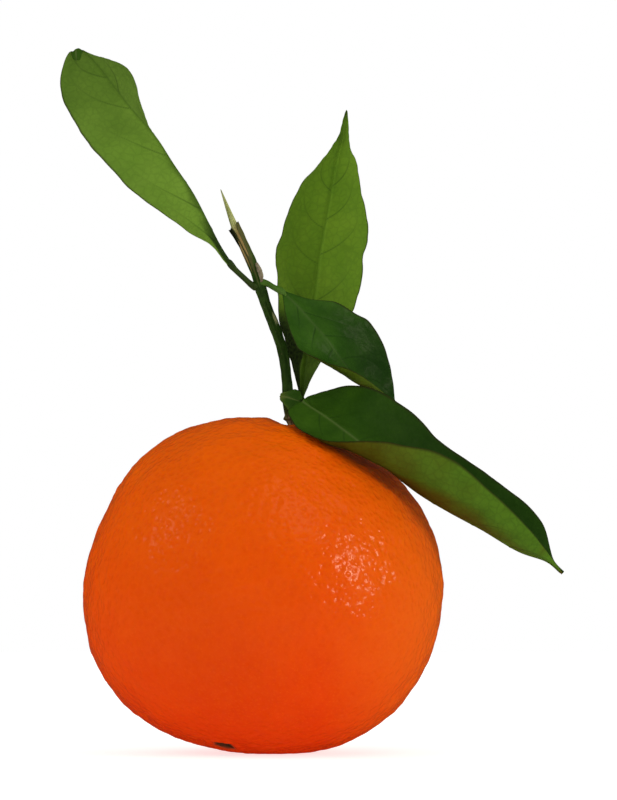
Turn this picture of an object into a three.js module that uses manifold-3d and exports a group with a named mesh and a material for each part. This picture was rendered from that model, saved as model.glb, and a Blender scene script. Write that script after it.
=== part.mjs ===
// An orange as picked: the whole fruit, its calyx, a short torn twig, a bud and four leaves on their stalks.
// Millimetres, +Z up. The origin is on the small flat spot that the fruit stands on, straight below the
// middle of the fruit, and the four leaves are seen best along +Y, with +X to the right.

import * as THREE from "three";
import { mergeVertices } from "three/addons/utils/BufferGeometryUtils.js";
import Module from "manifold-3d";

const wasm = await Module();
wasm.setup();

// --- Driving dimensions -----------------------------------------------------------------------------------

const CLEARANCE = 0.3; // between two pieces that touch on the real thing

const FRUIT_RADIUS = 36.1;
const FRUIT_CENTRE = new THREE.Vector3(0, 0, 34.6);
// How the fruit departs from a ball round its front outline: the cosine and sine part of each harmonic.
const FRUIT_SWELL = [
  [-0.9, -0.15],
  [-1.1, -0.35],
  [0.45, -0.3],
  [-0.25, -0.5],
];
const STEM_DIRECTION = new THREE.Vector3(5.9, 8, 29.5).normalize();
const DIMPLE_DEPTH = 1.6;
const DIMPLE_WIDTH = 6;

const CALYX_RADIUS = 3.6;
const CALYX_LOBE = 0.9; // how far each lobe reaches past the radius
const CALYX_LOBES = 5;
const CALYX_THICKNESS = 1.4;

const TWIG_RADIUS = 1.1;
// The twig's route above its foot, which stands on the calyx.
const TWIG_ROUTE = [
  [5.5, 8, 71],
  [4.9, 7.5, 77],
  [4.1, 7, 82.6],
  [2.3, 6, 88],
  [0.6, 5.2, 92.3],
  [-1.9, 4.3, 100],
  [-6.1, 4, 109.2],
];
const SPLINTER_RADIUS = 0.8;
const SPLINTER_FOOT = [-5, 4, 106.8];
const SPLINTER_TIP = [-8.7, 4, 116];

const BUD_CENTRE = [-0.4, 2.95, 99.3];
const BUD_SIZE = [0.6, 0.75, 1.7];
const BUD_LEAN = -0.38; // radians about Y, so that it lies along the twig

const BLADE_THICKNESS = 0.6;
const WING_THICKNESS = 0.8;
const STALK_RADIUS = 0.65;

// Each leaf's stations run from the foot of its blade to its tip: a point on the left margin, on the midrib
// and on the right margin. The bows say how far each half bulges towards the leaf's back.
const UPPER_LEFT_LEAF = {
  bows: [1.2, 0.4],
  stations: [
    [[-7.3, 2.2, 100.6], [-7, 2, 100.9], [-6.7, 2.4, 101.1]],
    [[-10.2, 1.6, 104.2], [-9, 1.2, 104], [-8.7, 3.5, 103.5]],
    [[-15, 0.5, 107.1], [-11.7, 0.5, 109.2], [-11.6, 5.5, 107.6]],
    [[-20.8, -0.5, 111.2], [-14.7, 0, 115], [-14.6, 8, 112.6]],
    [[-27.8, -1.5, 116.6], [-18.7, -0.5, 121], [-18.6, 10, 118.4]],
    [[-33.6, -2, 122.8], [-22.3, -0.5, 126.6], [-22.2, 11, 124.8]],
    [[-37.7, -2, 128.1], [-27.4, -0.5, 132.6], [-24.9, 10, 132.6]],
    [[-40.6, -1.5, 133.3], [-31.5, -0.5, 138], [-27.6, 7.5, 140.9]],
    [[-41.7, -1.5, 137.8], [-34.6, -0.5, 141.9], [-31.9, 5, 143]],
    [[-40.8, -2, 142.6], [-37.1, -1.5, 144.4], [-35.2, 1, 143.6]],
    [[-39.6, -3.5, 144.2], [-38.3, -3.5, 144.9], [-36.9, -2.5, 144.5]],
    [[-39, -4.6, 142.8], [-38.3, -4.8, 142.6], [-37.5, -4.6, 142.6]],
  ],
};
const UPRIGHT_LEAF = {
  bows: [0.8, 0.8],
  stations: [
    [[7.7, 10.8, 73.1], [8, 10.3, 72.9], [8.3, 10.8, 73.1]],
    [[6.4, 14, 78.7], [8.2, 10.5, 78.1], [10.7, 14, 78.5]],
    [[4.7, 16.5, 84], [8.9, 11, 83], [13.8, 17, 84]],
    [[3.4, 18, 89.6], [9.9, 12, 89.6], [17.7, 18, 89.6]],
    [[2.9, 18.5, 96.4], [10.9, 13, 96.4], [20.2, 18, 96.4]],
    [[2.7, 18.5, 102.6], [11.7, 13.8, 102.6], [21, 18, 102.6]],
    [[4.1, 18, 108.8], [12.8, 14.2, 108.8], [21.8, 18, 108.8]],
    [[7.2, 17, 116.4], [14.1, 14.2, 116], [20.5, 17, 116]],
    [[11.7, 15.5, 122.2], [15.2, 13.5, 122.2], [19.2, 15.5, 122.2]],
    [[15.2, 13.4, 126.4], [16.3, 12.5, 126.6], [17.9, 13.4, 126.4]],
    [[16.3, 11.5, 129.8], [16.9, 11.2, 130], [17.7, 11.5, 129.8]],
    [[17.1, 10.2, 132.5], [17.3, 10, 132.9], [17.5, 10.2, 132.5]],
  ],
};
const MIDDLE_LEAF = {
  bows: [1.4, 1],
  stations: [
    [[4, 2.6, 94.5], [4.3, 2.5, 94.8], [4.6, 3, 95.1]],
    [[4.7, -1.5, 90], [6.8, 1, 92.5], [9.7, 3.5, 93.6]],
    [[5.8, -4.5, 86.3], [9.9, 0, 89], [14.6, 5, 93]],
    [[7.2, -6, 83.6], [12.6, 0, 85.9], [18.6, 6.5, 90.9]],
    [[9.5, -6.5, 81.9], [14.8, 1, 82.8], [22, 7.5, 89]],
    [[13.6, -5, 80.2], [17.1, 3, 79.7], [24.1, 8.5, 85.6]],
    [[17.7, -1, 79.1], [19.4, 5.5, 76.8], [25.9, 9.5, 81.5]],
    [[22.2, 3.5, 76.4], [23.1, 8, 74], [26.9, 11, 76.8]],
    [[26.9, 9.6, 72.6], [27.1, 10, 72.4], [27.3, 10.3, 72.7]],
  ],
};
const LOWER_LEAF = {
  bows: [2.4, 1.5],
  stations: [
    [[6.4, 0.3, 71.4], [8.1, 1.1, 72.4], [8.6, 1.9, 73]],
    [[5.1, -3.5, 70.4], [10.5, -1.5, 70.9], [9.5, 4, 73.5]],
    [[7.6, -11, 66.7], [13.4, -5, 69], [13.4, 5, 74.8]],
    [[12.4, -16, 64.6], [16.5, -8, 66.7], [18.5, 3, 75.6]],
    [[18.3, -19, 64.4], [20.2, -10, 63.8], [24.3, 1, 74.5]],
    [[25.8, -20.5, 64], [25.4, -11, 59.2], [30.1, -1, 70.5]],
    [[33.8, -20, 62.6], [32, -11, 53.9], [36.5, -2, 64.4]],
    [[41.2, -18.5, 58.9], [38.2, -11, 50.1], [42.6, -3.3, 59.8]],
    [[47.8, -16.5, 52.9], [45.1, -10.5, 46.4], [49.4, -4.6, 55.2]],
    [[54.8, -13.5, 46.1], [52.6, -9.5, 42], [57.3, -5.8, 47.6]],
    [[59.3, -9.6, 40.2], [58.5, -8.8, 39.9], [59.8, -7.4, 39.8]],
    [[61.4, -8.2, 37.4], [61.6, -8, 37.3], [61.7, -7.8, 37.5]],
  ],
};
// The lower leaf's stalk is a small winged blade that wraps the front of the twig.
const LOWER_STALK = {
  bows: [0.2, 0.2],
  stations: [
    [[3.6, 6.1, 73], [3.5, 6.2, 73.4], [3.7, 6.2, 73.8]],
    [[4.4, 4.5, 71.7], [5.1, 4.9, 73.2], [5.5, 5.3, 74.7]],
    [[6, 2.8, 71.3], [6.5, 3.4, 72.9], [7.3, 4.5, 74.8]],
    [[7.3, 2, 72], [7.6, 2.1, 72.5], [8, 2.7, 73.4]],
  ],
};
const UPPER_LEFT_STALK = [
  [-2.2, 4.1, 96.6],
  [-4.4, 3.1, 98.3],
  [-6.5, 2.2, 100.5],
];
const UPRIGHT_STALK = [
  [7.9, 9.7, 69.8],
  [8.2, 10.3, 71],
  [8.1, 10.4, 72.3],
];
const MIDDLE_STALK = [
  [0.9, 4.2, 96.6],
  [2.4, 3.2, 95.9],
  [3.9, 2.7, 95.1],
];

const BLADE_ROWS = 28;
const BLADE_COLUMNS = 10;

// --- Helpers ----------------------------------------------------------------------------------------------

const vector = (point) => new THREE.Vector3(...point);

// Moves every vertex of a closed geometry through place(x, y, z), and merges the vertices that faces share.
function reshaped(geometry, place) {
  const bare = geometry.clone();
  bare.deleteAttribute("normal");
  bare.deleteAttribute("uv");
  const position = bare.getAttribute("position");
  for (let i = 0; i < position.count; i += 1) {
    const at = place(position.getX(i), position.getY(i), position.getZ(i));
    position.setXYZ(i, at.x, at.y, at.z);
  }
  return mergeVertices(bare, 1e-3);
}

function solid(geometry) {
  const triVerts = new Uint32Array(geometry.index.array);
  const vertProperties = new Float32Array(geometry.getAttribute("position").array);
  return new wasm.Manifold(new wasm.Mesh({ numProp: 3, vertProperties, triVerts }));
}

function geometryOf(manifold) {
  const mesh = manifold.getMesh();
  return new THREE.BufferGeometry()
    .setAttribute("position", new THREE.BufferAttribute(mesh.vertProperties, 3))
    .setIndex(new THREE.BufferAttribute(mesh.triVerts, 1));
}

function named(name, geometry, color, roughness) {
  const finished = geometry.clone();
  finished.computeVertexNormals();
  const mesh = new THREE.Mesh(finished, new THREE.MeshStandardMaterial({ color, roughness, metalness: 0 }));
  mesh.name = name;
  return mesh;
}

// A round rod of one thickness along a smooth route.
function rod(route, radius, sides, steps) {
  const section = new THREE.Shape();
  for (let i = 0; i < sides; i += 1) {
    const turn = (2 * Math.PI * i) / sides;
    const x = radius * Math.cos(turn);
    const y = radius * Math.sin(turn);
    if (i === 0) section.moveTo(x, y);
    else section.lineTo(x, y);
  }
  section.closePath();
  const extrudePath = new THREE.CatmullRomCurve3(route.map(vector));
  const made = new THREE.ExtrudeGeometry(section, { steps, extrudePath });
  return reshaped(made, (x, y, z) => new THREE.Vector3(x, y, z));
}

// --- Fruit ------------------------------------------------------------------------------------------------

// The fruit's surface in a direction from its centre, lifted off it by a distance.
function onFruit(direction, lift = 0) {
  const around = Math.atan2(direction.x, direction.z);
  const share = Math.hypot(direction.x, direction.z);
  let radius = FRUIT_RADIUS;
  FRUIT_SWELL.forEach(([cosine, sine], i) => {
    const k = i + 1;
    radius += share ** k * (cosine * Math.cos(k * around) + sine * Math.sin(k * around));
  });
  const fromStem = FRUIT_RADIUS * direction.angleTo(STEM_DIRECTION);
  radius -= DIMPLE_DEPTH * Math.exp(-((fromStem / DIMPLE_WIDTH) ** 2));
  return FRUIT_CENTRE.clone().addScaledVector(direction, radius + lift);
}

function fruit() {
  const ball = new THREE.IcosahedronGeometry(1, 12);
  const whole = solid(reshaped(ball, (x, y, z) => onFruit(new THREE.Vector3(x, y, z).normalize())));
  const side = 4 * FRUIT_RADIUS;
  const ground = new THREE.BoxGeometry(side, side, side).translate(0, 0, -side / 2);
  const below = solid(reshaped(ground, (x, y, z) => new THREE.Vector3(x, y, z)));
  return geometryOf(whole.subtract(below));
}

// --- Calyx ------------------------------------------------------------------------------------------------

// A flat five-lobed button that lies in the dimple: a ball pressed onto the fruit's surface.
function calyx() {
  const across = new THREE.Vector3(0, 1, 0).cross(STEM_DIRECTION).normalize();
  const along = STEM_DIRECTION.clone().cross(across);
  return reshaped(new THREE.SphereGeometry(1, 40, 10), (x, y, z) => {
    const turn = Math.atan2(z, x);
    const reach = Math.hypot(x, z) * (CALYX_RADIUS + CALYX_LOBE * Math.cos(CALYX_LOBES * turn));
    const direction = STEM_DIRECTION.clone()
      .addScaledVector(across, (reach * Math.cos(turn)) / FRUIT_RADIUS)
      .addScaledVector(along, (-reach * Math.sin(turn)) / FRUIT_RADIUS)
      .normalize();
    return onFruit(direction, CLEARANCE + (CALYX_THICKNESS * (1 + y)) / 2);
  });
}

// --- Twig and bud -----------------------------------------------------------------------------------------

function twig() {
  const base = CALYX_THICKNESS + 2 * CLEARANCE;
  const start = [base, base + TWIG_RADIUS].map((lift) => onFruit(STEM_DIRECTION, lift).toArray());
  const stem = solid(rod([...start, ...TWIG_ROUTE], TWIG_RADIUS, 10, 32));
  const foot = vector(SPLINTER_FOOT);
  const reach = vector(SPLINTER_TIP).sub(foot);
  const cone = new THREE.ConeGeometry(SPLINTER_RADIUS, reach.length(), 8);
  const upright = new THREE.Vector3(0, 1, 0);
  const turn = new THREE.Quaternion().setFromUnitVectors(upright, reach.clone().normalize());
  cone.applyQuaternion(turn);
  cone.translate(...foot.addScaledVector(reach, 0.5).toArray());
  const splinter = solid(reshaped(cone, (x, y, z) => new THREE.Vector3(x, y, z)));
  return geometryOf(stem.add(splinter));
}

function bud() {
  const ball = new THREE.SphereGeometry(1, 12, 8);
  const made = reshaped(ball, (x, y, z) => new THREE.Vector3(x, y, z).multiply(vector(BUD_SIZE)));
  return made.rotateY(BUD_LEAN).translate(...BUD_CENTRE);
}

// --- Leaves -----------------------------------------------------------------------------------------------

// The middle surface of a blade. u runs from foot to tip, v from the left margin at 0 over the midrib at 0.5
// to the right margin at 1. Each half is a bow from margin to midrib.
function bladeSurface(leaf) {
  const rails = [0, 1, 2].map((i) => new THREE.CatmullRomCurve3(leaf.stations.map((s) => vector(s[i]))));
  return (u, v) => {
    const [left, middle, right] = rails.map((rail) => rail.getPoint(u));
    const forward = rails[1].getTangent(u);
    const onLeft = v < 0.5;
    const margin = onLeft ? left : right;
    const share = onLeft ? 1 - 2 * v : 2 * v - 1;
    const chord = margin.clone().sub(middle);
    const back = chord.clone().cross(forward).normalize().multiplyScalar(onLeft ? -1 : 1);
    const taper = Math.sin(Math.PI * u);
    const bow = 4 * share * (1 - share) * leaf.bows[onLeft ? 0 : 1] * taper;
    return middle.addScaledVector(chord, share).addScaledVector(back, bow);
  };
}

// A thin box bent onto the blade's surface, half its thickness on each side.
function blade(leaf, thickness) {
  const surface = bladeSurface(leaf);
  const step = 1e-3;
  const box = new THREE.BoxGeometry(1, 1, 1, BLADE_COLUMNS, BLADE_ROWS, 1);
  return reshaped(box, (x, y, z) => {
    const u = y + 0.5;
    const v = x + 0.5;
    const along = surface(Math.min(u + step, 1), v).sub(surface(Math.max(u - step, 0), v));
    const across = surface(u, Math.min(v + step, 1)).sub(surface(u, Math.max(v - step, 0)));
    const normal = across.cross(along).normalize();
    return surface(u, v).addScaledVector(normal, z * thickness);
  });
}

// --- The whole orange -------------------------------------------------------------------------------------

const ORANGE = "#e24e06";
const CALYX_GREEN = "#4c5a24";
const TWIG_GREEN = "#24401c";
const BUD_BROWN = "#5b4630";
const STALK_GREEN = "#2c4a1c";
const UPPER_SIDE = "#1f4a1a";
const UNDERSIDE = "#4a7a22";

const whole = new THREE.Group();
whole.add(
  named("fruit", fruit(), ORANGE, 0.4),
  named("calyx", calyx(), CALYX_GREEN, 0.7),
  named("twig", twig(), TWIG_GREEN, 0.6),
  named("bud", bud(), BUD_BROWN, 0.8),
  named("stalk_upper_left", rod(UPPER_LEFT_STALK, STALK_RADIUS, 8, 8), STALK_GREEN, 0.5),
  named("stalk_upright", rod(UPRIGHT_STALK, STALK_RADIUS, 8, 6), STALK_GREEN, 0.5),
  named("stalk_middle", rod(MIDDLE_STALK, STALK_RADIUS, 8, 6), STALK_GREEN, 0.5),
  named("stalk_lower", blade(LOWER_STALK, WING_THICKNESS), STALK_GREEN, 0.5),
  named("leaf_upper_left", blade(UPPER_LEFT_LEAF, BLADE_THICKNESS), UNDERSIDE, 0.5),
  named("leaf_upright", blade(UPRIGHT_LEAF, BLADE_THICKNESS), UNDERSIDE, 0.5),
  named("leaf_middle", blade(MIDDLE_LEAF, BLADE_THICKNESS), UPPER_SIDE, 0.35),
  named("leaf_lower", blade(LOWER_LEAF, BLADE_THICKNESS), UPPER_SIDE, 0.35),
);

export default whole;
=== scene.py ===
# %% [markdown]
# # An orange with its leaves
#
# This lesson builds one orange as it was picked: the fruit with its calyx, a short torn twig, a bud and
# four leaves on their stalks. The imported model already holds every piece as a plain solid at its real
# place. Each step here makes the fine surface of one piece round its solid, and then gives it a finish made
# of nodes.

import math

import bpy
import numpy as np
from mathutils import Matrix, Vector
from mathutils.kdtree import KDTree


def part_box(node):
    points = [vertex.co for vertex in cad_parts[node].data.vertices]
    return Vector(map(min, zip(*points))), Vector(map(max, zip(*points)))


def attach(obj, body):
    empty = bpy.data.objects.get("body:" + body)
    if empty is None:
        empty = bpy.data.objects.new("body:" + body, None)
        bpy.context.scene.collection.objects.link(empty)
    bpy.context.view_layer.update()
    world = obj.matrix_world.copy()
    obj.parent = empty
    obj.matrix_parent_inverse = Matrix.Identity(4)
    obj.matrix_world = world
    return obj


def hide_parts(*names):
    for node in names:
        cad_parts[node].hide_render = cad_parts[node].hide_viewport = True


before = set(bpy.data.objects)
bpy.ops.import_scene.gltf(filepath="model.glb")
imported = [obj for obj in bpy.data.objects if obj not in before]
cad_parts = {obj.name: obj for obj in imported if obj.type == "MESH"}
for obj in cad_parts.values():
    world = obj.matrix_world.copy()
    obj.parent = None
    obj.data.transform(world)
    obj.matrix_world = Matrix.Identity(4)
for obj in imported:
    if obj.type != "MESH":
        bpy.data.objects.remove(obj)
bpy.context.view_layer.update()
MM = 0.001
print("plain pieces:", sorted(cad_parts))

# %% [markdown]
# ## Camera, floor and light
#
# The camera comes first, so that every later step can be looked at. It stands far off with a long lens,
# level with the middle of the object, because a fruit seen from close by looks swollen.
#
# The floor is one wide pale sheet, and the world is a white studio. Under soft light a sheet of paper looks
# grey, so the sheet here also glows, until it reads as white.
#
# A lamp stands on the right and weaker ones on the upper left and on top. They are small and bright, so
# that the gloss breaks into flecks. Two wide fills on the left and behind keep the shaded sides readable,
# and gloss doesn't see them. Gloss sees a darker studio and floor than the eye does, as if black cloth hung
# between the lamps: without it, a white haze would lie over the deep colour of the rind.

# %% Camera
VIEW_CENTRE = Vector((0.0094, 0.0, 0.0727))
VIEW_HEIGHT = 0.1648  # the height that the frame takes in
CAMERA_DISTANCE = 1.5

camera_data = bpy.data.cameras.new("camera")
camera_data.sensor_width = 36
camera_data.lens = camera_data.sensor_width * CAMERA_DISTANCE / VIEW_HEIGHT
camera_data.clip_end = 20
camera = bpy.data.objects.new("camera", camera_data)
camera.location = VIEW_CENTRE + Vector((0, -CAMERA_DISTANCE, 0))
camera.rotation_euler = (math.pi / 2, 0, 0)
bpy.context.scene.collection.objects.link(camera)
bpy.context.scene.camera = camera
print("lens:", round(camera_data.lens), "mm")

# %% [markdown]
# Most of the making below is placing vertices by formula and joining them into faces, so one helper turns
# arrays into a mesh object. The others are for finishes: one adds a shader node, sets its values and links
# whatever is a socket, and the rest are short names for the few nodes that most finishes use.

# %% Helpers for meshes and nodes


def mesh_piece(name, points, faces, materials=(), face_materials=None, measures=None):
    """A smooth-shaded mesh object. points are in metres, and measures are named values for each point."""
    mesh = bpy.data.meshes.new(name)
    faces = faces.tolist() if isinstance(faces, np.ndarray) else faces
    mesh.from_pydata(np.asarray(points).tolist(), [], faces)
    mesh.polygons.foreach_set("use_smooth", [True] * len(mesh.polygons))
    for material in materials:
        mesh.materials.append(material)
    if face_materials is not None:
        mesh.polygons.foreach_set("material_index", np.asarray(face_materials, dtype=np.int32))
    for key, values in (measures or {}).items():
        kind, slot = ("FLOAT", "value") if np.ndim(values) == 1 else ("FLOAT_VECTOR", "vector")
        layer = mesh.attributes.new(key, kind, "POINT")
        layer.data.foreach_set(slot, np.asarray(values, dtype=np.float32).ravel())
    mesh.update()
    piece = bpy.data.objects.new(name, mesh)
    bpy.context.scene.collection.objects.link(piece)
    return piece


def set_inputs(tree, node, inputs):
    """Sets a node's inputs by name or number. A socket is linked, and anything else is a plain value."""
    for key, value in inputs.items():
        if isinstance(value, bpy.types.NodeSocket):
            tree.links.new(value, node.inputs[key])
        else:
            node.inputs[key].default_value = value


def add(tree, kind, inputs=None, **settings):
    """A node of one kind. inputs holds values or sockets, and settings are the node's own."""
    node = tree.nodes.new(kind)
    for key, value in settings.items():
        setattr(node, key, value)
    set_inputs(tree, node, inputs or {})
    return node


def in_reach(tree, value, low, high):
    """value stretched so that low becomes 0 and high becomes 1, and held between them."""
    inputs = {"Value": value, "From Min": low, "From Max": high}
    return add(tree, "ShaderNodeMapRange", inputs, clamp=True).outputs["Result"]


def spread(tree, share, low, high):
    """A share from 0 to 1 spread over low to high."""
    return add(tree, "ShaderNodeMapRange", {"Value": share, "To Min": low, "To Max": high}).outputs["Result"]


def blend_colours(tree, share, first, second):
    """The first colour where share is 0, and the second where it is 1."""
    return add(tree, "ShaderNodeMix", {0: share, 6: first, 7: second}, data_type="RGBA").outputs[2]


def math_node(tree, operation, first, second=0.0):
    return add(tree, "ShaderNodeMath", {0: first, 1: second}, operation=operation).outputs[0]


def times(tree, first, second):
    return math_node(tree, "MULTIPLY", first, second)


def plus(tree, first, second):
    return math_node(tree, "ADD", first, second)


def measured(tree, name, output="Fac"):
    """A value that the mesh holds at each point."""
    return add(tree, "ShaderNodeAttribute", attribute_name=name).outputs[output]


def parts_of(tree, vector):
    """The X, Y and Z of a vector."""
    return add(tree, "ShaderNodeSeparateXYZ", {0: vector}).outputs


def bumped(tree, height, strength, depth):
    """Fine relief in the shading alone. depth is in metres."""
    return add(tree, "ShaderNodeBump", {"Height": height, "Strength": strength, "Distance": depth}).outputs[0]


def finish_of(name):
    """A new material, its node tree and its Principled shader."""
    material = bpy.data.materials.new(name)
    material.use_nodes = True
    tree = material.node_tree
    return material, tree, tree.nodes["Principled BSDF"]


print("helpers ready")

# %% Floor
FLOOR_RADIUS = 0.6
FLOOR_SIDES = 96
FLOOR_GLOW = 0.70
PAPER_SHADES = ((0.58, 0.58, 0.58, 1), (0.60, 0.60, 0.60, 1))
BLACK_CLOTH = (0.03, 0.03, 0.03, 1)  # what gloss sees in place of the sheet

floor_turns = np.linspace(0, 2 * np.pi, FLOOR_SIDES, endpoint=False)
floor_rim = np.column_stack([np.cos(floor_turns), np.sin(floor_turns), np.zeros(FLOOR_SIDES)]) * FLOOR_RADIUS
floor_material, floor_tree, floor_shader = finish_of("pale_paper")
paper_fibre = add(floor_tree, "ShaderNodeTexNoise", {"Scale": 60.0, "Detail": 4.0}).outputs["Fac"]
set_inputs(floor_tree, floor_shader, {
    "Base Color": blend_colours(floor_tree, paper_fibre, *PAPER_SHADES),
    "Roughness": 0.9,
    "Specular IOR Level": 0.1,
    "Emission Strength": FLOOR_GLOW,
    "Emission Color": (1, 1, 1, 1),
})
glossy_ray = add(floor_tree, "ShaderNodeLightPath").outputs["Is Glossy Ray"]
cloth = add(floor_tree, "ShaderNodeBsdfDiffuse", {"Color": BLACK_CLOTH}).outputs[0]
floor_seen = add(floor_tree, "ShaderNodeMixShader", {0: glossy_ray, 1: floor_shader.outputs[0], 2: cloth})
floor_tree.links.new(floor_seen.outputs[0], floor_tree.nodes["Material Output"].inputs["Surface"])
floor_material.cycles.emission_sampling = "NONE"
floor = mesh_piece("floor", floor_rim, [list(range(FLOOR_SIDES))], [floor_material])
print("floor radius:", FLOOR_RADIUS, "m")

# %% Studio light
STUDIO_WHITE = (1.0, 1.0, 1.0, 1)
STUDIO_LIGHT = 0.60  # what falls on the object
STUDIO_IN_SIGHT = 1.0  # what the eye sees beyond the object
STUDIO_IN_GLOSS = 0.02  # what gloss sees beyond the lamps

studio = bpy.data.worlds.new("white_studio")
bpy.context.scene.world = studio
studio.use_nodes = True
studio.node_tree.nodes.clear()
# Every ray that misses the object asks the studio itself, so gloss gets its own answer.
studio.cycles.sampling_method = "NONE"
ray = add(studio.node_tree, "ShaderNodeLightPath").outputs
more_in_sight = times(studio.node_tree, ray["Is Camera Ray"], STUDIO_IN_SIGHT - STUDIO_LIGHT)
less_in_gloss = times(studio.node_tree, ray["Is Glossy Ray"], STUDIO_IN_GLOSS - STUDIO_LIGHT)
strength = plus(studio.node_tree, plus(studio.node_tree, more_in_sight, less_in_gloss), STUDIO_LIGHT)
white = add(studio.node_tree, "ShaderNodeBackground", {"Color": STUDIO_WHITE, "Strength": strength})
add(studio.node_tree, "ShaderNodeOutputWorld", {"Surface": white.outputs[0]})
bpy.context.scene.view_settings.view_transform = "Standard"

LAMP_TARGET = Vector((0, 0, 0.06))
LAMP_COLOUR = (1.0, 0.92, 0.68)
# Each lamp is a direction from the object, a distance, width and height in metres, a power in watts, and
# whether gloss sees it.
LAMPS = {
    "lamp_right": ((0.86, -0.46, 0.22), 0.75, 0.155, 0.185, 1.85, True),
    "lamp_upper_left": ((-0.80, -0.27, 0.54), 0.9, 0.18, 0.18, 0.45, True),
    "lamp_top": ((0.36, -0.48, 0.83), 0.9, 0.45, 0.45, 0.8, True),
    "fill_left": ((-0.80, -0.27, 0.54), 0.9, 0.8, 0.8, 2.2, False),
    "fill_behind": ((0.25, 0.75, 0.9), 1.1, 0.9, 0.8, 0.9, False),
}
for lamp_name, (direction, distance, width, height, power, in_gloss) in LAMPS.items():
    lamp_data = bpy.data.lights.new(lamp_name, "AREA")
    lamp_data.shape = "RECTANGLE"
    lamp_data.size = width
    lamp_data.size_y = height
    lamp_data.energy = power
    lamp_data.color = LAMP_COLOUR
    lamp = bpy.data.objects.new(lamp_name, lamp_data)
    lamp.visible_camera = False
    lamp.visible_glossy = in_gloss
    away = Vector(direction).normalized()
    lamp.location = LAMP_TARGET + away * distance
    lamp.rotation_euler = away.to_track_quat("Z", "Y").to_euler()
    bpy.context.scene.collection.objects.link(lamp)
print("lamps:", ", ".join(LAMPS))

# %% [markdown]
# ## Shared effects
#
# Living surfaces are never one colour. Three effects return on several pieces, so each is a node group:
# soft patches between two colours, a scatter of small round glands as all citrus skin has, and a lengthwise
# grain for bark, wood and leaves. Patches and glands are measured in millimetres, so that a gland is the
# same size wherever it lies. The grain takes its place from the mesh, so that it follows a bend.

# %% Node groups


def node_group(name, inputs, outputs):
    """An empty node group with named sockets, and its input and output nodes."""
    group = bpy.data.node_groups.new(name, "ShaderNodeTree")
    for label, kind, value in inputs:
        socket = group.interface.new_socket(name=label, in_out="INPUT", socket_type=kind)
        if value is not None:
            socket.default_value = value
    for label, kind in outputs:
        group.interface.new_socket(name=label, in_out="OUTPUT", socket_type=kind)
    return group, group.nodes.new("NodeGroupInput").outputs, group.nodes.new("NodeGroupOutput").inputs


def millimetres(tree, size):
    """The place on the object, counted in steps of size millimetres."""
    place = add(tree, "ShaderNodeTexCoord").outputs["Object"]
    steps = math_node(tree, "DIVIDE", 1.0 / MM, size)
    return add(tree, "ShaderNodeVectorMath", {0: place, "Scale": steps}, operation="SCALE").outputs[0]


FLOAT = "NodeSocketFloat"
COLOUR = "NodeSocketColor"
VECTOR = "NodeSocketVector"

patches, given, sent = node_group(
    "soft_patches",
    [("First", COLOUR, None), ("Second", COLOUR, None), ("Size", FLOAT, 5.0), ("Softness", FLOAT, 0.2)],
    [("Colour", COLOUR), ("Mask", FLOAT)],
)
patch_place = millimetres(patches, given["Size"])
patch_inputs = {"Vector": patch_place, "Scale": 1.0, "Detail": 5.0, "Roughness": 0.6}
patch_noise = add(patches, "ShaderNodeTexNoise", patch_inputs).outputs["Fac"]
patch_low = math_node(patches, "SUBTRACT", 0.5, given["Softness"])
patch_high = math_node(patches, "ADD", 0.5, given["Softness"])
patch_mask = in_reach(patches, patch_noise, patch_low, patch_high)
patches.links.new(patch_mask, sent["Mask"])
patches.links.new(blend_colours(patches, patch_mask, given["First"], given["Second"]), sent["Colour"])

glands, given, sent = node_group(
    "oil_glands", [("Spacing", FLOAT, 1.2), ("Width", FLOAT, 0.35)], [("Mask", FLOAT)]
)
gland_place = millimetres(glands, given["Spacing"])
gland_cells = add(glands, "ShaderNodeTexVoronoi", {"Vector": gland_place, "Scale": 1.0}).outputs["Distance"]
glands.links.new(in_reach(glands, gland_cells, given["Width"], 0.0), sent["Mask"])

grain, given, sent = node_group(
    "long_grain", [("Place", VECTOR, None), ("Across", FLOAT, 6.0), ("Along", FLOAT, 0.6)], [("Mask", FLOAT)]
)
grain_steps = {0: given["Across"], 1: given["Across"], 2: given["Along"]}
grain_stretch = add(grain, "ShaderNodeCombineXYZ", grain_steps).outputs[0]
grain_stretched = {0: given["Place"], 1: grain_stretch}
grain_vector = add(grain, "ShaderNodeVectorMath", grain_stretched, operation="MULTIPLY").outputs[0]
grain_inputs = {"Vector": grain_vector, "Scale": 1.0, "Detail": 4.0}
grain_noise = add(grain, "ShaderNodeTexNoise", grain_inputs).outputs["Fac"]
grain.links.new(in_reach(grain, grain_noise, 0.3, 0.7), sent["Mask"])


def placed(tree, group, inputs):
    """The outputs of a node group set into a material with its own values."""
    node = tree.nodes.new("ShaderNodeGroup")
    node.node_tree = group
    set_inputs(tree, node, inputs)
    return node.outputs


def patched(tree, colours, size, softness):
    """Soft patches of two colours. size is in millimetres."""
    first, second = colours
    return placed(tree, patches, {"First": first, "Second": second, "Size": size, "Softness": softness})


print("node groups:", [group.name for group in bpy.data.node_groups])

# %% [markdown]
# ## The rind
#
# A ripe orange is a slightly flattened ball, swollen where its segments press and drawn in at the stem. Its
# rind is packed with oil glands about one and a half millimetres apart. Each gland is a small pit with a
# soft shoulder, and the pits break the gloss into flecks. A bump map would leave the outline smooth, so the
# pits here are real: a ball of about four hundred thousand points is pressed by formula. The ball is made
# of six bent squares, because its points then lie evenly, with no pole where they crowd.

# %% The fruit's plain form
FRUIT_CENTRE = np.array([0, 0, 34.6]) * MM
FRUIT_RADIUS = 36.1 * MM
FRUIT_SWELL = np.array([[-0.9, -0.15], [-1.1, -0.35], [0.45, -0.3], [-0.25, -0.5]]) * MM
DIMPLE_DEPTH = 1.6 * MM
DIMPLE_WIDTH = 6 * MM


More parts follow.
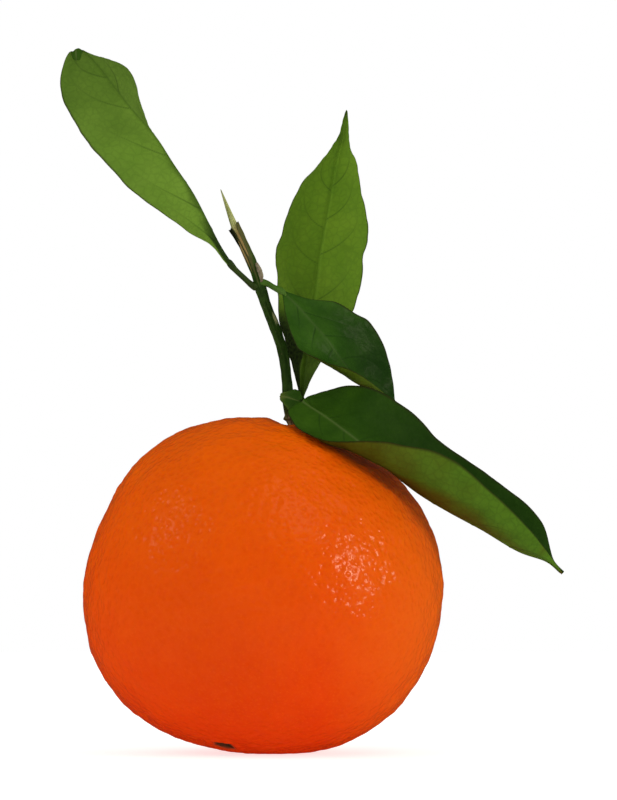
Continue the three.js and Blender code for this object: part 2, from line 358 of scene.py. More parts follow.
def unit(vectors):
    vectors = np.asarray(vectors, dtype=float)
    return vectors / np.linalg.norm(vectors, axis=-1, keepdims=True)


STEM = unit([5.9, 8, 29.5])
STEM_SIDE = unit(np.cross([0, 1, 0], STEM))
STEM_UP = np.cross(STEM, STEM_SIDE)


def on_fruit(directions, lift=0.0):
    """Points of the fruit's plain surface in these directions from its centre, raised by lift."""
    around = np.arctan2(directions[:, 0], directions[:, 2])
    share = np.hypot(directions[:, 0], directions[:, 2])
    radius = np.full(len(directions), FRUIT_RADIUS)
    for k, (cosine, sine) in enumerate(FRUIT_SWELL, start=1):
        radius += share**k * (cosine * np.cos(k * around) + sine * np.sin(k * around))
    from_stem = FRUIT_RADIUS * np.arccos(np.clip(directions @ STEM, -1, 1))
    radius -= DIMPLE_DEPTH * np.exp(-((from_stem / DIMPLE_WIDTH) ** 2))
    return FRUIT_CENTRE + directions * (radius + lift)[:, None]


def ripples(points, wavelength, seed, count=20):
    """A smooth random height, about -1 to 1, made of plane waves of one wavelength in random directions."""
    random = np.random.default_rng(seed)
    headings = unit(random.normal(size=(count, 3))) * (2 * np.pi / wavelength)
    starts = random.uniform(0, 2 * np.pi, count)
    return np.cos(points @ headings.T + starts).sum(axis=1) * math.sqrt(2 / count)


def ball_of_squares(squares):
    """Unit directions and four-cornered faces of a ball made of six bent grids."""
    steps = np.tan(np.linspace(-np.pi / 4, np.pi / 4, squares + 1))
    across, along = [grid.ravel() for grid in np.meshgrid(steps, steps, indexing="ij")]
    top = np.ones_like(across)
    sides = []
    for axis in range(3):
        for sign in (1, -1):
            columns = [across * sign, along, top * sign]
            sides.append(np.column_stack(columns[axis:] + columns[:axis]))
    directions = unit(np.vstack(sides))
    corner = (np.arange(squares)[:, None] * (squares + 1) + np.arange(squares)).ravel()
    square = np.column_stack([corner, corner + squares + 1, corner + squares + 2, corner + 1])
    faces = np.vstack([square + side * (squares + 1) ** 2 for side in range(6)])
    keys = np.round(directions * 1e6).astype(np.int64)
    _, kept, merged = np.unique(keys, axis=0, return_index=True, return_inverse=True)
    return directions[kept], merged.ravel()[faces]


rind_directions, rind_faces = ball_of_squares(squares=260)
first = rind_directions[rind_faces[0]]
outward = np.dot(np.cross(first[1] - first[0], first[2] - first[1]), first[0])
print("rind faces:", len(rind_faces), "outward" if outward > 0 else "inward")

# %% [markdown]
# The glands' places come from a spiral that spreads points evenly over a ball, each pushed a little off its
# place so that no rows show. Round the calyx the rind is drawn into short folds, and at the far end it
# carries the scar where the blossom dropped: a brown button in a small ring.

# %% Pits, folds and the blossom scar
GLAND_SPACING = 1.45 * MM
PIT_WIDTH = 0.47 * MM
PIT_DEPTH = 0.125 * MM
FOLD_COUNT = 9
FOLD_HEIGHT = 0.45 * MM
FOLD_REACH = 9.0 * MM
FOLD_WIDTH = 4.0 * MM
BLOSSOM = unit([-8.2, -11.2, -33.3])
SCAR_RADIUS = 2.4 * MM
SCAR_SOFTNESS = 0.18 * MM
SCAR_DEPTH = 0.35 * MM
SCAR_RING = (0.25 * MM, 0.6 * MM)  # how high the ring round the scar stands, and how wide it is
# Each wave of the rind is a height and a wavelength in millimetres, and a seed.
BROAD_WAVES = ((0.10, 17, 1), (0.07, 6.5, 2))
PEBBLE_WAVE = (0.028, 2.3, 3)
SCAR_WAVE = (0.05, 0.9, 9)
REST_SOFTNESS = 0.35 * MM  # how softly the rind turns onto the flat spot that the fruit stands on


def even_directions(spacing, seed):
    """Directions spread over the fruit about spacing apart, in no pattern."""
    count = int(4 * np.pi * FRUIT_RADIUS**2 / spacing**2)
    index = np.arange(count) + 0.5
    height = 1 - 2 * index / count
    turn = np.pi * (1 + math.sqrt(5)) * index
    ring = np.sqrt(1 - height**2)
    spread = np.column_stack([ring * np.cos(turn), ring * np.sin(turn), height])
    jitter = np.random.default_rng(seed).normal(size=(count, 3)) * 0.24 * spacing / FRUIT_RADIUS
    return unit(spread + jitter)


def nearest(directions, seeds):
    """How far each direction is from its nearest seed along the fruit's surface, and which seed that is."""
    tree = KDTree(len(seeds))
    for number, seed in enumerate(seeds.tolist()):
        tree.insert(seed, number)
    tree.balance()
    found = [tree.find(direction)[1:] for direction in directions.tolist()]
    index, distance = zip(*found)
    return np.array(distance) * FRUIT_RADIUS, np.array(index)


def rolling(points, height, wavelength, seed):
    """Ripples with a height and a wavelength in millimetres."""
    return height * MM * ripples(points, wavelength * MM, seed)


gland_seeds = even_directions(GLAND_SPACING, seed=5)
to_gland, gland_number = nearest(rind_directions, gland_seeds)
gland_size = np.random.default_rng(6).uniform(0.6, 1.35, len(gland_seeds))[gland_number]
pit = np.exp(-((to_gland / (PIT_WIDTH * gland_size)) ** 2))

from_stem = FRUIT_RADIUS * np.arccos(np.clip(rind_directions @ STEM, -1, 1))
stem_turn = np.arctan2(rind_directions @ STEM_UP, rind_directions @ STEM_SIDE)
folds = np.cos(FOLD_COUNT * stem_turn + 1.2 * np.sin(2 * stem_turn + 0.6) + from_stem / FOLD_REACH)
folds = folds * np.exp(-(((from_stem - FOLD_REACH) / FOLD_WIDTH) ** 2))

from_scar = FRUIT_RADIUS * np.arccos(np.clip(rind_directions @ BLOSSOM, -1, 1))
scar_edge = SCAR_RADIUS * (1 + 0.12 * ripples(rind_directions * FRUIT_RADIUS, 2.5 * MM, seed=8))
scar = 1 / (1 + np.exp((from_scar - scar_edge) / SCAR_SOFTNESS))
ring_height, ring_width = SCAR_RING
scar_ring = np.exp(-(((from_scar - scar_edge * 1.35) / ring_width) ** 2))

places = rind_directions * FRUIT_RADIUS
relief = sum(rolling(places, *wave) for wave in BROAD_WAVES)
relief += (rolling(places, *PEBBLE_WAVE) - PIT_DEPTH * gland_size * pit) * (1 - scar)
relief += FOLD_HEIGHT * folds + ring_height * scar_ring - SCAR_DEPTH * scar
relief += rolling(places, *SCAR_WAVE) * scar
rind_points = on_fruit(rind_directions, relief)

height = rind_points[:, 2]
rind_points[:, 2] = (height + np.sqrt(height**2 + REST_SOFTNESS**2)) / 2
rind_points[:, 2] -= rind_points[:, 2].min()
print("oil glands:", len(gland_seeds), "deepest pit in mm:", round(PIT_DEPTH * gland_size.max() / MM, 2))

# %% [markdown]
# The rind's colour goes from a warm orange round the stem to a redder one below, in soft patches. Towards
# the right it turns yellower: that is a painted sheen, where the right lamp lays a veil of gloss. Each gland
# is a touch deeper than the skin between. Wax gives the gloss: it is clear, so it has no colour of its own,
# and it lies unevenly. A little light enters the rind and comes out nearby, which softens the pits.

# %% Rind finish
WARM_SKIN = ((0.70, 0.096, 0.0006, 1), (0.74, 0.111, 0.0008, 1))
RED_SKIN = ((0.59, 0.026, 0.0004, 1), (0.63, 0.038, 0.0004, 1))
# The yellower orange of the painted sheen on the right side, where the right lamp's gloss falls.
RIGHT_PAINTED_SHEEN = (0.62, 0.118, 0.005, 1)
SPECK = (0.80, 0.15, 0.004, 1)
GLAND_TINT = (0.60, 0.040, 0.0004, 1)
SCAR_SKIN = ((0.030, 0.012, 0.004, 1), (0.11, 0.035, 0.008, 1))

rind_finish, tree, shader = finish_of("rind_skin")
scar_share = measured(tree, "scar")
on_rind = parts_of(tree, add(tree, "ShaderNodeTexCoord").outputs["Object"])
warm = patched(tree, WARM_SKIN, 9.0, 0.25)["Colour"]
red = patched(tree, RED_SKIN, 7.0, 0.25)["Colour"]
skin = blend_colours(tree, in_reach(tree, on_rind["Z"], 0, 66 * MM), red, warm)
# Painted sheen: the rind turns yellower towards the right, the side that faces the right lamp.
painted_sheen_share = times(tree, in_reach(tree, on_rind["X"], 12 * MM, 36 * MM), 0.62)
skin = blend_colours(tree, painted_sheen_share, skin, RIGHT_PAINTED_SHEEN)
speck_share = times(tree, placed(tree, glands, {"Spacing": 0.7, "Width": 0.42})["Mask"], 0.12)
skin = blend_colours(tree, speck_share, skin, SPECK)
skin = blend_colours(tree, times(tree, measured(tree, "gland"), 0.14), skin, GLAND_TINT)
skin = blend_colours(tree, scar_share, skin, patched(tree, SCAR_SKIN, 0.8, 0.2)["Colour"])
wax = placed(tree, patches, {"Size": 3.0, "Softness": 0.3})["Mask"]
fine_glands = placed(tree, glands, {"Spacing": 0.45, "Width": 0.6})["Mask"]
set_inputs(tree, shader, {
    "Base Color": skin,
    "Roughness": plus(tree, spread(tree, wax, 0.12, 0.22), times(tree, scar_share, 0.35)),
    "Normal": bumped(tree, fine_glands, 0.35, 0.06 * MM),
    "Specular IOR Level": 0.155,
    "Subsurface Weight": 0.30,
    "Subsurface Radius": (1.0, 0.25, 0.05),
    "Subsurface Scale": 2 * MM,
})

rind = mesh_piece("rind", rind_points, rind_faces, [rind_finish], measures={"gland": pit, "scar": scar})
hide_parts("fruit")
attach(rind, "root")
print("rind spans in mm:", np.round(np.ptp(rind_points, axis=0) / MM, 1))

# %% [markdown]
# ## The leaves
#
# A citrus leaf is a leathery blade about a third of a millimetre thick. Its midrib stands out underneath
# and is a fine groove above. Side veins leave the midrib at about fifty degrees, bend forward and join each
# other in arches short of the margin, and a net of fine veins fills the rest. The upper side is dark, waxy
# and a little quilted between the veins, while the underside is paler and duller.
#
# A flat cut-out with a bump map would look like paper from the side. Each leaf here is woven over three
# curves, the left margin, the midrib and the right margin, which are the ones that give its plain solid its
# place and curl. Then the veins are worked out once as a height, and that one height shapes both sides and
# tints the finish.

# %% The routes of the leaves, in millimetres
# Each row is a station from foot to tip: a point on the left margin, on the midrib and on the right margin.
UPPER_LEFT_LEAF = [
    [[-7.3, 2.2, 100.6], [-7, 2, 100.9], [-6.7, 2.4, 101.1]],
    [[-10.2, 1.6, 104.2], [-9, 1.2, 104], [-8.7, 3.5, 103.5]],
    [[-15, 0.5, 107.1], [-11.7, 0.5, 109.2], [-11.6, 5.5, 107.6]],
    [[-20.8, -0.5, 111.2], [-14.7, 0, 115], [-14.6, 8, 112.6]],
    [[-27.8, -1.5, 116.6], [-18.7, -0.5, 121], [-18.6, 10, 118.4]],
    [[-33.6, -2, 122.8], [-22.3, -0.5, 126.6], [-22.2, 11, 124.8]],
    [[-37.7, -2, 128.1], [-27.4, -0.5, 132.6], [-24.9, 10, 132.6]],
    [[-40.6, -1.5, 133.3], [-31.5, -0.5, 138], [-27.6, 7.5, 140.9]],
    [[-41.7, -1.5, 137.8], [-34.6, -0.5, 141.9], [-31.9, 5, 143]],
    [[-40.8, -2, 142.6], [-37.1, -1.5, 144.4], [-35.2, 1, 143.6]],
    [[-39.6, -3.5, 144.2], [-38.3, -3.5, 144.9], [-36.9, -2.5, 144.5]],
    [[-39, -4.6, 142.8], [-38.3, -4.8, 142.6], [-37.5, -4.6, 142.6]],
]
UPRIGHT_LEAF = [
    [[7.7, 10.8, 73.1], [8, 10.3, 72.9], [8.3, 10.8, 73.1]],
    [[6.4, 14, 78.7], [8.2, 10.5, 78.1], [10.7, 14, 78.5]],
    [[4.7, 16.5, 84], [8.9, 11, 83], [13.8, 17, 84]],
    [[3.4, 18, 89.6], [9.9, 12, 89.6], [17.7, 18, 89.6]],
    [[2.9, 18.5, 96.4], [10.9, 13, 96.4], [20.2, 18, 96.4]],
    [[2.7, 18.5, 102.6], [11.7, 13.8, 102.6], [21, 18, 102.6]],
    [[4.1, 18, 108.8], [12.8, 14.2, 108.8], [21.8, 18, 108.8]],
    [[7.2, 17, 116.4], [14.1, 14.2, 116], [20.5, 17, 116]],
    [[11.7, 15.5, 122.2], [15.2, 13.5, 122.2], [19.2, 15.5, 122.2]],
    [[15.2, 13.4, 126.4], [16.3, 12.5, 126.6], [17.9, 13.4, 126.4]],
    [[16.3, 11.5, 129.8], [16.9, 11.2, 130], [17.7, 11.5, 129.8]],
    [[17.1, 10.2, 132.5], [17.3, 10, 132.9], [17.5, 10.2, 132.5]],
]
MIDDLE_LEAF = [
    [[4, 2.6, 94.5], [4.3, 2.5, 94.8], [4.6, 3, 95.1]],
    [[4.7, -1.5, 90], [6.8, 1, 92.5], [9.7, 3.5, 93.6]],
    [[5.8, -4.5, 86.3], [9.9, 0, 89], [14.6, 5, 93]],
    [[7.2, -6, 83.6], [12.6, 0, 85.9], [18.6, 6.5, 90.9]],
    [[9.5, -6.5, 81.9], [14.8, 1, 82.8], [22, 7.5, 89]],
    [[13.6, -5, 80.2], [17.1, 3, 79.7], [24.1, 8.5, 85.6]],
    [[17.7, -1, 79.1], [19.4, 5.5, 76.8], [25.9, 9.5, 81.5]],
    [[22.2, 3.5, 76.4], [23.1, 8, 74], [26.9, 11, 76.8]],
    [[26.9, 9.6, 72.6], [27.1, 10, 72.4], [27.3, 10.3, 72.7]],
]
LOWER_LEAF = [
    [[6.4, 0.3, 71.4], [8.1, 1.1, 72.4], [8.6, 1.9, 73]],
    [[5.1, -3.5, 70.4], [10.5, -1.5, 70.9], [9.5, 4, 73.5]],
    [[7.6, -11, 66.7], [13.4, -5, 69], [13.4, 5, 74.8]],
    [[12.4, -16, 64.6], [16.5, -8, 66.7], [18.5, 3, 75.6]],
    [[18.3, -19, 64.4], [20.2, -10, 63.8], [24.3, 1, 74.5]],
    [[25.8, -20.5, 64], [25.4, -11, 59.2], [30.1, -1, 70.5]],
    [[33.8, -20, 62.6], [32, -11, 53.9], [36.5, -2, 64.4]],
    [[41.2, -18.5, 58.9], [38.2, -11, 50.1], [42.6, -3.3, 59.8]],
    [[47.8, -16.5, 52.9], [45.1, -10.5, 46.4], [49.4, -4.6, 55.2]],
    [[54.8, -13.5, 46.1], [52.6, -9.5, 42], [57.3, -5.8, 47.6]],
    [[59.3, -9.6, 40.2], [58.5, -8.8, 39.9], [59.8, -7.4, 39.8]],
    [[61.4, -8.2, 37.4], [61.6, -8, 37.3], [61.7, -7.8, 37.5]],
]
LOWER_STALK = [
    [[4.4, 7.6, 73], [4.5, 7.7, 73.4], [4.6, 7.6, 73.8]],
    [[3.6, 6.1, 72.7], [3.5, 6.2, 73.4], [3.8, 6.2, 74.1]],
    [[4.4, 4.5, 71.7], [5.1, 4.9, 73.2], [5.5, 5.3, 74.7]],
    [[5.2, 2.0, 70.6], [6.4, 3.3, 72.7], [7.3, 4.5, 74.8]],
    [[6.4, 0.6, 70.2], [7.7, 2, 72.3], [8.1, 2.6, 73.5]],
]
station_counts = [len(leaf) for leaf in (UPPER_LEFT_LEAF, UPRIGHT_LEAF, MIDDLE_LEAF, LOWER_LEAF)]
print("leaves with", station_counts, "stations")

# %% [markdown]
# A smooth curve through given points is a Catmull-Rom spline. The kind used here slows down where points
# lie close together, so it doesn't loop in a tight curl.

# %% The curve, and the surface woven over three of them


def curve_through(stations, shares):
    """Points of the smooth curve through the stations, at shares 0 to 1 of the way in stations."""
    stations = np.asarray(stations, dtype=float)
    before = 2 * stations[0] - stations[1]
    after = 2 * stations[-1] - stations[-2]
    held = np.vstack([before, stations, after])
    place = np.clip(shares, 0, 1) * (len(stations) - 1)
    index = np.minimum(place.astype(int), len(stations) - 2)
    step = (place - index)[:, None]
    a, b, c, d = [held[index + k] for k in range(4)]
    ab, bc, cd = [np.sqrt(np.linalg.norm(q - p, axis=1, keepdims=True)) for p, q in ((a, b), (b, c), (c, d))]
    leaving = ((b - a) / ab - (c - a) / (ab + bc) + (c - b) / bc) * bc
    arriving = ((c - b) / bc - (d - b) / (bc + cd) + (d - c) / cd) * bc
    square = (3 * (c - b) - 2 * leaving - arriving) * step**2
    cube = (2 * (b - c) + leaving + arriving) * step**3
    return b + leaving * step + square + cube


def even_shares(stations, count):
    """Shares that step evenly along the curve's length, a little closer together at both ends."""
    fine = np.linspace(0, 1, 1500)
    line = curve_through(stations, fine)
    length = np.concatenate([[0], np.cumsum(np.linalg.norm(np.diff(line, axis=0), axis=1))])
    even = np.linspace(0, 1, count)
    eased = even - 0.12 * np.sin(2 * np.pi * even) / (2 * np.pi)
    return np.interp(eased * length[-1], length, fine), eased * length[-1]


def woven(stations, bows, rows, columns, wave):
    """A leaf's middle surface as rows of points from foot to tip, and where each point lies on the leaf.

    bows is how far the left and the right half bulge towards the underside. wave is how far the margin
    wanders in and out, how far it rises and falls, and how long one wave is. All are in millimetres.
    """
    shares, along = even_shares([station[1] for station in stations], rows)
    left, middle, right = [curve_through([s[i] for s in stations], shares) for i in range(3)]
    forward = unit(np.gradient(middle, axis=0))
    side = np.linspace(-1, 1, columns)
    grid = np.empty((rows, columns, 3))
    half_width = np.empty((rows, columns))
    taper = np.sin(np.pi * shares)
    wander, rise, wave_length = wave
    for column, s in enumerate(side):
        margin, bow, sign = (left, bows[0], -1) if s < 0 else (right, bows[1], 1)
        share = abs(s)
        chord = margin - middle
        width = np.linalg.norm(chord, axis=1)
        phase = 2 * np.pi * along / wave_length + 2.2 * sign
        beat = np.sin(phase) + 0.6 * np.sin(1.7 * phase + 1.3 * sign) + 0.4 * np.sin(2.9 * phase)
        reach = share * (1 + wander * taper * beat * share**3 / np.maximum(width, 1.0))
        back = sign * unit(np.cross(chord, forward))
        lift = 4 * share * (1 - share) * bow * taper + rise * taper * share**3 * np.cos(phase + 0.8)
        grid[:, column] = middle + chord * reach[:, None] + back * lift[:, None]
        half_width[:, column] = width * share * sign
    return grid, along, half_width


print("woven: three curves make one blade")

# %% [markdown]
# The veins are drawn in the leaf's own measures: how far along the midrib, and what share of the way to the
# margin. A side vein climbs fast at first and then levels out at an arch line short of the margin. Its
# distance from a point gives a soft ridge. The quilting is what lies between the ridges, pushed up on the
# upper side.

# %% Veins as a height
ARCH_SHARE = 0.86  # how far out towards the margin the side veins arch together


def vein_height(along, across, starts, reach, seed):
    """How much of a side vein runs through each point, 0 to 1. Both measures are grids in millimetres.

    starts holds where the left and the right side veins leave the midrib.
    """
    random = np.random.default_rng(seed)
    half = np.abs(across)
    height = np.zeros(across.shape)
    for sign, side_starts in zip((-1, 1), starts):
        on_side = (np.sign(across) == sign) | (half < 0.02)
        width = np.maximum(half[:, 0] if sign < 0 else half[:, -1], 0.3)
        gap = (side_starts[-1] - side_starts[0]) / max(len(side_starts) - 1, 1)
        for start in side_starts:
            way = np.maximum(along - start, 0)
            bend = reach * random.uniform(0.88, 1.15)
            course = ARCH_SHARE * (1 - np.exp(-way / bend)) * width
            slope = np.gradient(course, along)
            away = np.abs(half - course[:, None]) / np.sqrt(1 + slope[:, None] ** 2)
            thin = 0.20 - 0.08 * np.clip(way / (2 * gap), 0, 1)
            fade = np.clip(1.15 - way / (1.5 * gap), 0, 1) * (along > start - 0.2)
            ridge = np.exp(-((away / thin[:, None]) ** 2)) * fade[:, None] * on_side
            height = np.maximum(height, ridge)
    return height


def midrib_height(along, across, width):
    """The midrib's section, 0 to 1, tapering from foot to tip."""
    wide = width * (1.0 - 0.75 * along / along[-1])[:, None]
    return np.exp(-((across / wide) ** 2))


print("veins arch at", ARCH_SHARE, "of the half width")

# %% [markdown]
# The blade is closed: the upper grid and the lower grid share nothing, and a strip of faces joins their
# rims. Each side keeps its own finish. The blade thins towards the margin, so that its edge shows as a fine
# line.

# %% A leaf from its routes
LEAF_ROWS, LEAF_COLUMNS = ((230, 100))


def soft_band(value, low, high, softness):
    """1 between low and high, falling softly to 0 beyond them."""
    rise = 1 / (1 + np.exp(-np.clip((value - low) / (softness / 3), -40, 40)))
    return rise / (1 + np.exp(-np.clip((high - value) / (softness / 3), -40, 40)))


def closed_leaf(name, stations, bows, finishes, wave, starts, reach, seed, shades, rows=LEAF_ROWS,
                columns=LEAF_COLUMNS, thickness=0.34, midrib=(0.42, 0.38), vein_rise=0.07, quilt=0.05):
    """A leaf as one closed mesh. midrib is its width and how far it stands out underneath, in millimetres.

    Each of the shades is a band that is painted darker, most of it painted shade. run says where it begins
    and ends along the leaf, as shares from foot to tip, and side the same across it, from the left margin
    (-1) to the right (1). softness is that of its border, and above and below say how strong the painted band
    is on the upper side and the underside.
    """
    grid, along, across = woven(stations, bows, rows, columns, wave)
    normal = unit(np.cross(np.gradient(grid, axis=1), np.gradient(grid, axis=0)))
    veins = vein_height(along, across, starts, reach, seed)
    rib = midrib_height(along, across, midrib[0])
    share = np.abs(np.linspace(-1, 1, columns))[None, :]
    half_thick = thickness / 2 * (1 - 0.75 * share**10)
    flat = grid.reshape(-1, 3)
    ripple = 0.05 * ripples(flat, 5.0, seed + 20) + 0.02 * ripples(flat, 1.6, seed + 21)
    ripple = ripple.reshape(rows, columns) * np.clip(share * 3, 0, 1)
    pillow = quilt * (1 - veins) * (1 - rib) * (1 - share**6) - vein_rise * 0.6 * veins
    upper = grid + normal * (-half_thick - pillow + 0.16 * rib + ripple)[..., None]
    under = grid + normal * (half_thick + vein_rise * veins + midrib[1] * rib + ripple)[..., None]
    count = rows * columns
    number = np.arange(count).reshape(rows, columns)
    corners = [number[:-1, :-1], number[:-1, 1:], number[1:, 1:], number[1:, :-1]]
    square = np.stack(corners, axis=-1).reshape(-1, 4)
    rim = np.concatenate([number[0, :-1], number[:-1, -1], number[-1, :0:-1], number[:0:-1, 0]])
    onward = np.roll(rim, -1)
    edge = np.column_stack([rim, rim + count, onward + count, onward])
    faces = np.vstack([square[:, ::-1], square + count, edge[:, ::-1]])
    sides = np.concatenate([np.zeros(len(square)), np.ones(len(square)), np.zeros(len(edge))])
    place = np.stack([across, np.broadcast_to(along[:, None], across.shape), share + 0 * across], axis=-1)
    run = (along / along[-1])[:, None]
    width_share = np.linspace(-1, 1, columns)[None, :]
    wander = 0.03 * ripples(flat, 7.0, seed + 22).reshape(rows, columns)
    # The painted shade of each point, on the upper side and the underside, with some darker tone of the leaf.
    painted_shade_and_tone = np.zeros((2,) + across.shape)
    for shade in shades:
        softness = shade["softness"]
        place_share = soft_band(run + wander, *shade["run"], softness)
        place_share = place_share * soft_band(width_share + wander * 2, *shade["side"], softness * 1.5)
        painted_shade_and_tone = np.maximum(painted_shade_and_tone, np.stack([shade["above"] * place_share, shade["below"] * place_share]))
    measures = {
        "vein": np.tile(veins.ravel(), 2),
        "midrib": np.tile(rib.ravel(), 2),
        "leaf_place": np.tile(place.reshape(-1, 3), (2, 1)),
        "painted_shade_and_tone": painted_shade_and_tone.ravel(),
    }
    points = np.vstack([upper.reshape(-1, 3), under.reshape(-1, 3)]) * MM
    return mesh_piece(name, points, faces, finishes, sides, measures)


print("leaf grid:", LEAF_ROWS, "by", LEAF_COLUMNS)

# %% [markdown]
# ## Leaf skin
#
# Green comes from inside the leaf, and wax lies over it. The colour moves in soft patches. The side veins
# are drawn a little darker than the flesh, and so is the midrib underneath, but on the upper side the
# midrib is paler. The fine net of veins shows as a faint mesh. Light that falls on the far side glows
# through, so a translucent part is mixed in. The net is the border between the cells of a Voronoi texture,
# which is what such a net is on the real leaf: each cell is a patch of flesh fed by the veins round it.

# %% The fine net, as a shared group
net, given, sent = node_group("vein_net", [("Cell", FLOAT, 1.4)], [("Mask", FLOAT)])
net_steps = math_node(net, "DIVIDE", 1.0, given["Cell"])
net_place = measured(net, "leaf_place", "Vector")
net_flat = add(net, "ShaderNodeVectorMath", {0: net_place, 1: (1, 1, 0)}, operation="MULTIPLY").outputs[0]
net_scaled = add(net, "ShaderNodeVectorMath", {0: net_flat, "Scale": net_steps}, operation="SCALE").outputs[0]
net_wobble = add(net, "ShaderNodeTexNoise", {"Vector": net_scaled, "Scale": 1.5}).outputs["Color"]
net_bent = add(net, "ShaderNodeVectorMath", {0: net_wobble, 1: (0.4, 0.4, 0.0), 2: net_scaled},
               operation="MULTIPLY_ADD").outputs[0]
net_border = add(net, "ShaderNodeTexVoronoi", {"Vector": net_bent, "Scale": 1.0}, feature="DISTANCE_TO_EDGE")
net.links.new(in_reach(net, net_border.outputs["Distance"], 0.16, 0.0), sent["Mask"])
print("the net is a group of", len(net.nodes), "nodes")

# %% Upper and under skin
LEAF_EDGE = (0.020, 0.022, 0.006, 1)  # the thin dry rim of the blade


def leaf_skin(name, flesh, vein, rib, painted_shade_and_tone, glow, glow_share, roughness, net_share, bump):
    """The finish of one side of a leaf.

    flesh is its two colours, and vein and rib are what its veins and midrib turn to. The colour given after
    rib is that of the bands that the mesh marks: mostly painted shade, on the warm underside a painted warm
    brown for orange light thrown up from the rind, and on the winged stalk its yellowish foot. glow is the
    light that comes through and glow_share is how much. net_share says how clearly the fine net shows, and
    bump how strong the fine relief is.
    """
    finish, tree, shader = finish_of(name)
    leaf_place = measured(tree, "leaf_place", "Vector")
    mesh = placed(tree, net, {"Cell": 1.5})["Mask"]
    dots = placed(tree, glands, {"Spacing": 0.55, "Width": 0.32})["Mask"]
    fine_vein = times(tree, math_node(tree, "POWER", measured(tree, "vein"), 1.8), 0.85)
    lines = math_node(tree, "MAXIMUM", fine_vein, times(tree, mesh, net_share))
    streaks = placed(tree, grain, {"Place": leaf_place, "Across": 1.6, "Along": 0.08})["Mask"]
    # How much painted shade lies here, broken up by streaks.
    depth = times(tree, measured(tree, "painted_shade_and_tone"), spread(tree, streaks, 0.84, 1.0))
    edge = in_reach(tree, parts_of(tree, leaf_place)["Z"], 0.955, 0.995)
    skin = blend_colours(tree, lines, patched(tree, flesh, 6.0, 0.22)["Colour"], vein)
    skin = blend_colours(tree, math_node(tree, "POWER", measured(tree, "midrib"), 2.0), skin, rib)
    # The painted shade is laid over the skin's colour.
    skin = blend_colours(tree, depth, skin, painted_shade_and_tone)
    skin = blend_colours(tree, times(tree, dots, 0.15), skin, vein)
    skin = blend_colours(tree, times(tree, edge, 0.85), skin, LEAF_EDGE)
    wax = placed(tree, patches, {"Size": 2.0, "Softness": 0.3})["Mask"]
    relief = bumped(tree, plus(tree, times(tree, mesh, 0.6), times(tree, dots, 0.5)), bump, 0.05 * MM)
    set_inputs(tree, shader, {
        "Base Color": skin,
        "Roughness": plus(tree, spread(tree, wax, roughness, roughness + 0.12), times(tree, edge, 0.35)),
        "Normal": relief,
        "Specular IOR Level": 0.055,
    })
    through = blend_colours(tree, math_node(tree, "MAXIMUM", lines, edge), glow, LEAF_EDGE)
    # The light that comes through is painted darker in the same bands of painted shade.
    through = blend_colours(tree, depth, through, painted_shade_and_tone)
    glowing = add(tree, "ShaderNodeBsdfTranslucent", {"Color": through, "Normal": relief}).outputs[0]
    both = add(tree, "ShaderNodeMixShader", {0: glow_share, 1: shader.outputs[0], 2: glowing})
    tree.links.new(both.outputs[0], tree.nodes["Material Output"].inputs["Surface"])
    return finish


upper_skin = leaf_skin(
    "leaf_upper_skin", flesh=((0.020, 0.062, 0.004, 1), (0.038, 0.100, 0.007, 1)),
    vein=(0.018, 0.052, 0.006, 1), rib=(0.080, 0.130, 0.032, 1), painted_shade_and_tone=(0.006, 0.026, 0.002, 1),
    glow=(0.08, 0.22, 0.004, 1), glow_share=0.06, roughness=0.32, net_share=0.12, bump=0.35)
middle_skin = leaf_skin(
    "leaf_middle_skin", flesh=((0.018, 0.062, 0.005, 1), (0.036, 0.100, 0.009, 1)),
    vein=(0.014, 0.044, 0.006, 1), rib=(0.042, 0.092, 0.016, 1), painted_shade_and_tone=(0.006, 0.026, 0.003, 1),
    glow=(0.08, 0.22, 0.004, 1), glow_share=0.06, roughness=0.30, net_share=0.14, bump=0.45)
pale_under_skin = leaf_skin(
    "leaf_pale_under_skin", flesh=((0.128, 0.252, 0.024, 1), (0.165, 0.300, 0.034, 1)),
    vein=(0.045, 0.100, 0.010, 1), rib=(0.070, 0.150, 0.014, 1), painted_shade_and_tone=(0.010, 0.026, 0.004, 1),
    glow=(0.14, 0.30, 0.012, 1), glow_share=0.18, roughness=0.50, net_share=0.16, bump=0.5)
under_skin = leaf_skin(
    "leaf_under_skin", flesh=((0.088, 0.190, 0.010, 1), (0.125, 0.235, 0.014, 1)),
    vein=(0.040, 0.092, 0.006, 1), rib=(0.078, 0.165, 0.009, 1), painted_shade_and_tone=(0.004, 0.009, 0.003, 1),
    glow=(0.14, 0.30, 0.004, 1), glow_share=0.22, roughness=0.50, net_share=0.20, bump=0.5)
# Its band colour is a warm brown: painted orange light thrown up from the rind onto the shaded underside.
warm_under_skin = leaf_skin(
    "leaf_warm_under_skin", flesh=((0.060, 0.138, 0.008, 1), (0.086, 0.190, 0.012, 1)),
    vein=(0.022, 0.048, 0.004, 1), rib=(0.060, 0.100, 0.008, 1), painted_shade_and_tone=(0.090, 0.026, 0.001, 1),
    glow=(0.14, 0.24, 0.004, 1), glow_share=0.20, roughness=0.50, net_share=0.20, bump=0.5)
print("leaf skins ready")

# %% [markdown]
# Each blade gets its own route, veins and skins. Some places are also painted in bands. Most are painted
# shade: the feet, the half that is folded away, and parts of the upper sides. The tips are darker too. On
# the undersides near the fruit the band is a warm brown, which is painted orange light thrown up from the
# rind. Each band's strength is kept in the mesh, so one skin serves leaves with different bands. How much
# of such a tone belongs to a real leaf and how much is shade is a guess, and a strong band can show as a
# patch from the side.

# %% The four blades
ACROSS = (-1.5, 1.5)  # both halves of a leaf, past the margins

